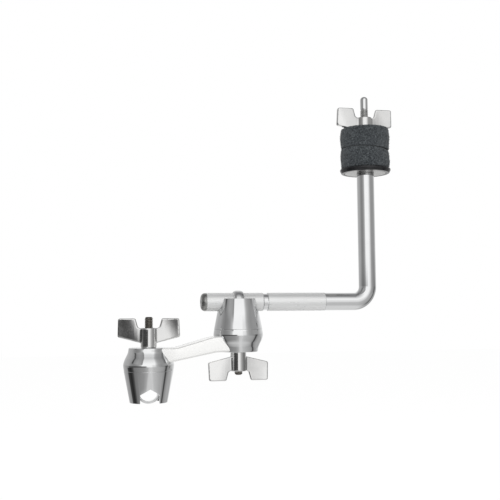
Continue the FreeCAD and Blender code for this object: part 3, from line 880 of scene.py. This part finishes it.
def knurl_tree():
    tree, size = new_tree("straight_knurl", {
        "From": "Vector", "To": "Vector", "Ridges": "Int", "Valley radius": "Float",
        "Crest radius": "Float", "Run-out": "Float", "Finish": "Material"})
    path = add(tree, "GeometryNodeCurvePrimitiveLine", {"Start": size["From"], "End": size["To"]})
    fine = add(tree, "GeometryNodeResampleCurve", {"Curve": path.outputs[0]})
    fine.inputs["Count"].default_value = 140
    along_path = add(tree, "GeometryNodeSplineParameter")
    total = add(tree, "GeometryNodeSplineLength")
    gone = along_path.outputs["Length"]
    near = calc(tree, "MINIMUM", calc(tree, "SUBTRACT", total.outputs["Length"], gone), gone)
    taper = add(tree, "ShaderNodeMapRange", {
        "Value": near, "From Min": 0.0, "From Max": size["Run-out"], "To Min": .975,
        "To Max": 1.0})
    star = add(tree, "GeometryNodeCurveStar", {
        "Points": size["Ridges"], "Inner Radius": size["Valley radius"],
        "Outer Radius": size["Crest radius"]})
    sized = add(tree, "GeometryNodeSetCurveRadius", {
        "Curve": fine.outputs[0], "Radius": taper.outputs[0]})
    band = add(tree, "GeometryNodeCurveToMesh", {
        "Curve": sized.outputs[0], "Profile Curve": star.outputs[0], "Fill Caps": True})
    if "Scale" in band.inputs:
        tree.links.new(taper.outputs[0], band.inputs["Scale"])
    return close_tree(tree, band.outputs[0], size["Finish"])


# %% Roll the knurls, turn the groove and the end
knurl_chrome = knurl_finish(rod_height * MM, VALLEY * MM, RIDGE * MM)
straight_knurl = knurl_tree()
bands = [run_tree(straight_knurl, "knurl", {
    "From": (a, 0.0, rod_height), "To": (b, 0.0, rod_height), "Ridges": 58,
    "Valley radius": VALLEY, "Crest radius": RIDGE, "Run-out": .5, "Finish": knurl_chrome})
    for a, b in knurls]
sawn_end = plated("sawn_end", (.52, .52, .51), (.30, .30, .29), .20, .38,
                  (1, 1, 1), 0.00003, 400)
groove_line = [(0, 80.0), (6.25, 80.0), (6.25, 80.85), (6.0, 81.1), (6.0, 83.8), (6.25, 84.05),
               (6.25, 84.9), (0, 84.9)]
groove = lathe("groove", groove_line, (0, 0, rod_height), 112, closed=False, axis="X")
end_line = [(0, low.x + 1.1), (1.25, low.x + .05), (1.45, low.x)]
end_line += [(3.6 + 2.8 * math.sin(a), low.x + 3.0 * (1 - math.cos(a))) for a in arc(10)]
end_line += [(6.4, low.x + 4.0), (0, low.x + 4.0)]
tail = lathe("tail", end_line, (0, 0, rod_height), 112, closed=False, axis="X")
crown_line = soften([(0, shoulder - 1, 0), (ROD, shoulder - 1, 0), (ROD, shoulder, .4),
                     (0, shoulder, 0)], 3, False)
crown = lathe("crown", crown_line, (leg_axis, 0), 112, closed=False)
for part, made_of in ((groove, drawn_chrome), (tail, sawn_end), (crown, drawn_chrome)):
    part.data.materials.append(made_of)
settle(weld(rod, *bands, groove, tail, crown), "rod", "l_rod", crease=40)

# %% [markdown]
# ## The cymbal stud
# A threaded stud stands on the leg. Above its thread is a smooth round-nosed pin that guides
# the cymbal down over it without scratching.

# %% Thread and pin
low, high = box_mm("cymbal_stud")
stud = middle("cymbal_stud")
PIN, pin_foot, thread_top = 2.8, 206.4, 207.0
# the second colour is the painted shade in the thread's grooves
stud_steel = thread_steel("stud_thread", [c * MM for c in stud], .00236, .00296,
                          (.93, .93, .92), (.60, .60, .59))
pin_line = [(0, pin_foot), (2.4, pin_foot), (PIN, pin_foot + .9)]
pin_line += [(PIN, pin_foot + 1.1), (PIN, high.z - 2.8), (PIN, high.z - 2.6)]
pin_line += [(PIN * math.cos(a), high.z - 2.6 + 2.6 * math.sin(a)) for a in arc(10, 1, 9)]
pin_line += [(0, high.z)]
pin = lathe("stud_turned", pin_line, stud, 64, closed=False)
pin.data.materials.append(drawn_chrome)
shank = thread("shank", stud, low.z, thread_top, stud_steel)
settle(weld(pin, shank), "rod", "cymbal_stud", crease=40)

# %% [markdown]
# ## The seat: washer and plastic sleeve
# A steel washer on the rod's shoulder carries a moulded plastic seat, a flared flange with a
# sleeve that keeps the cymbal off the thread. The washer is sheared and tumbled, so it is dull
# and brushed. The plastic is glossy black with a faint swirl where it cooled.

# %% Brushed washer
low, high = box_mm("seat_washer")
washer_line = soften([(3.3, low.z, .2), (15.25, low.z, .45), (15.25, high.z, .35),
                      (3.3, high.z, .2)], 4)
washer_steel = plated("washer_steel", (.54, .54, .53), (.40, .40, .39), .22, .36,
                      (.3, .3, 1), 0.00002, 300)
settle(lathe("seat_washer_sheared", washer_line, middle("seat_washer"), 128), "rod",
       "seat_washer", washer_steel)


# %% Moulded seat
def moulded_plastic():
    material, tree, where = finish("moulded_black")
    swirl = grain(tree, moved(tree, where, stretch=(1, 1, 2.5)), 160, 5)
    dust = grain(tree, where, 2400, 2)
    colour = ramp(tree, swirl, [(.35, (.009, .009, .010)), (.7, (.016, .016, .018))])
    rough = ramp(tree, dust, [(.35, .10), (.75, .20)])
    skin = add(tree, "ShaderNodeBump", {"Height": dust, "Strength": .15, "Distance": .00001})
    coat(tree, {"Base Color": colour, "Roughness": rough, "Normal": skin.outputs[0],
                "IOR": 1.49})
    return material


low, high = box_mm("cymbal_seat")
seat_wide = (high.x - low.x) / 2
seat_corners = [(3.3, low.z + 1.2, .2), (15.3, low.z + 1.2, .3), (15.4, low.z, .3),
                (seat_wide - 1.0, low.z, .5), (seat_wide, low.z + 1.9, .5),
                (seat_wide, low.z + 3.0, .35), (seat_wide - .6, low.z + 3.0, .3),
                (seat_wide - 1.6, low.z + 1.9, .8), (4.8, low.z + 1.95, .8),
                (4.8, high.z, .4), (3.3, high.z, .2)]
settle(lathe("cymbal_seat_moulded", soften(seat_corners, 5), middle("cymbal_seat"), 144), "rod",
       "cymbal_seat", moulded_plastic(), 40)

# %% [markdown]
# ## The felts
# Two thick felt washers hold the cymbal softly. Felt is pressed wool: squeezed between seat and
# nut, it bulges at its waist, its edges round over, and loose fibres stand off its skin. Each
# felt is a closed lathe form whose points are then pushed about by seeded noise, and a node
# tree scatters short fibres over it. The colour is heathered, light fibres over dark.


# %% Wool finish
def wool():
    material, tree, where = finish("pressed_wool")
    tangle = grain(tree, moved(tree, where, stretch=(1, 1, 1.4)), 620, 6, .78)
    cloud = grain(tree, where, 1500, 3)
    colour = ramp(tree, calc(tree, "MULTIPLY", tangle, cloud), [
        (.15, (.008, .010, .012)), (.25, (.046, .052, .057)), (.37, (.105, .115, .12))])
    fuzz = add(tree, "ShaderNodeBump", {"Height": tangle, "Strength": .8, "Distance": .00025})
    coat(tree, {"Base Color": colour, "Roughness": .95, "Normal": fuzz.outputs[0],
                "Specular IOR Level": .12, "Sheen Weight": .12, "Sheen Roughness": .6})
    return material


pressed_wool = wool()


# %% Fibre tree
def fibre_tree():
    tree, size = new_tree("loose_fibres", {
        "Geometry": "Geometry", "Density": "Float", "Length": "Float", "Thickness": "Float",
        "Seed": "Int", "Finish": "Material"})
    spots = add(tree, "GeometryNodeDistributePointsOnFaces", {
        "Mesh": size["Geometry"], "Density": size["Density"], "Seed": size["Seed"]})
    half = calc(tree, "MULTIPLY", size["Length"], .5)
    far = add(tree, "ShaderNodeCombineXYZ", {"X": size["Length"], "Z": half})
    mid = add(tree, "ShaderNodeCombineXYZ", {"X": half})
    bow = add(tree, "GeometryNodeCurveQuadraticBezier", {
        "Resolution": 3, "Start": (0, 0, -.08), "Middle": mid.outputs[0], "End": far.outputs[0]})
    tube = add(tree, "GeometryNodeCurvePrimitiveCircle", {
        "Resolution": 3, "Radius": size["Thickness"]})
    strand = add(tree, "GeometryNodeCurveToMesh", {
        "Curve": bow.outputs[0], "Profile Curve": tube.outputs[0]})
    spin = add(tree, "FunctionNodeRandomValue", {"Seed": size["Seed"]}, data_type="FLOAT")
    spin.inputs[3].default_value = 2 * math.pi
    turn_by = add(tree, "ShaderNodeCombineXYZ", {"Z": spin.outputs[1]})
    turned = add(tree, "FunctionNodeRotateRotation", {
        0: spots.outputs["Rotation"], 1: turn_by.outputs[0]}, rotation_space="LOCAL")
    long_or_short = add(tree, "FunctionNodeRandomValue", {"Seed": 7}, data_type="FLOAT")
    long_or_short.inputs[2].default_value, long_or_short.inputs[3].default_value = .4, 1.0
    set_out = add(tree, "GeometryNodeInstanceOnPoints", {
        "Points": spots.outputs["Points"], "Instance": strand.outputs[0],
        "Rotation": turned.outputs[0], "Scale": long_or_short.outputs[1]})
    both = add(tree, "GeometryNodeJoinGeometry")
    tree.links.new(set_out.outputs[0], both.inputs[0])
    tree.links.new(size["Geometry"], both.inputs[0])
    return close_tree(tree, both.outputs[0], size["Finish"])


# %% Press, rumple and furnish both felts
loose_fibres = fibre_tree()
STIFF = 7.0                     # inside this radius the felt is gripped and keeps its shape


def make_felt(name, body, node, seed, profile, lean_over, shared_top):
    """shared_top is True where the other felt presses on this one's top, along a tilted joint."""
    low, high = box_mm(node)
    centre = middle(node)
    felt = lathe(name, profile, centre, 176)
    for vertex in felt.data.vertices:
        spot = vertex.co
        out = Vector((spot.x - centre[0], spot.y - centre[1], 0))
        reach = out.length
        if reach < STIFF:
            continue
        share = (reach - STIFF) / 11
        drift = noise.noise(Vector((spot.x * .11, spot.y * .11, spot.z * .16 + seed * 7.3)))
        lump = noise.noise(Vector((spot.x * .42, spot.y * .42, spot.z * .42 + seed * 3.1)))
        nap = noise.noise(Vector((spot.x * 1.6, spot.y * 1.6, spot.z * 1.6 + seed)))
        push = .42 * drift + .20 * lump + .10 * nap - .25
        spot += out.normalized() * push * share
        spot.z += lean_over(spot, out, share)
        spot.z = min(high.z, max(low.z, spot.z + .10 * lump * share))
        settled = (spot.z - low.z) / (high.z - low.z)
        spot.z -= .045 * (spot.x - centre[0]) * (settled if shared_top else 1 - settled)
    run_tree(loose_fibres, name, {"Density": 2.2, "Length": .85, "Thickness": .042,
                                  "Seed": seed, "Finish": pressed_wool}, felt)
    settle(felt, body, node, crease=75)
    return felt


def arc_side(radius, foot, top, bulge, rounding, hole, dish=0.0, flat_to=16.0):
    """A felt's section: hole, underside, bulged side and top, closed."""
    line = [(hole, foot + .3)]
    line += [(hole + (radius - rounding - hole) * k / 14, foot + .02) for k in range(1, 15)]
    line += [(radius - rounding + rounding * math.sin(a), foot + rounding * (1 - math.cos(a)))
             for a in arc(7, 1)]
    span = top - foot - 2 * rounding
    line += [(radius + bulge * math.sin(math.pi * k / 22), foot + rounding + span * k / 22)
             for k in range(1, 22)]
    line += [(radius - rounding + rounding * math.cos(a), top - rounding * (1 - math.sin(a)))
             for a in arc(7, 1)]
    for k in range(1, 15):
        r = radius - rounding + (hole - radius + rounding) * k / 14
        line.append((r, top - .02 - dish * max(0, (flat_to - r) / (flat_to - hole))))
    return line + [(hole, top - dish - 1.0)]


def right_side(out):
    """How far a point faces the right-hand side, where the felts part a little."""
    return max(0, out.normalized().dot(Vector((.93, -.36, 0)))) ** 3


low, high = box_mm("lower_felt")
make_felt("lower_felt_pressed", "rod", "lower_felt", 3,
          arc_side(17.85, low.z, high.z, .40, 1.2, 5.95),
          lambda spot, out, share: -1.5 * right_side(out) * share ** 5
          * max(0, (spot.z - low.z) / (high.z - low.z) - .45) * 1.8, True)
low, high = box_mm("upper_felt")
make_felt("upper_felt_pressed", "felt_top", "upper_felt", 8,
          arc_side(17.8, low.z, high.z, .25, .8, 5.95, 2.5),
          lambda spot, out, share: .25 * right_side(out) * share ** 3
          * max(0, 1 - (spot.z - low.z) / 5), False)
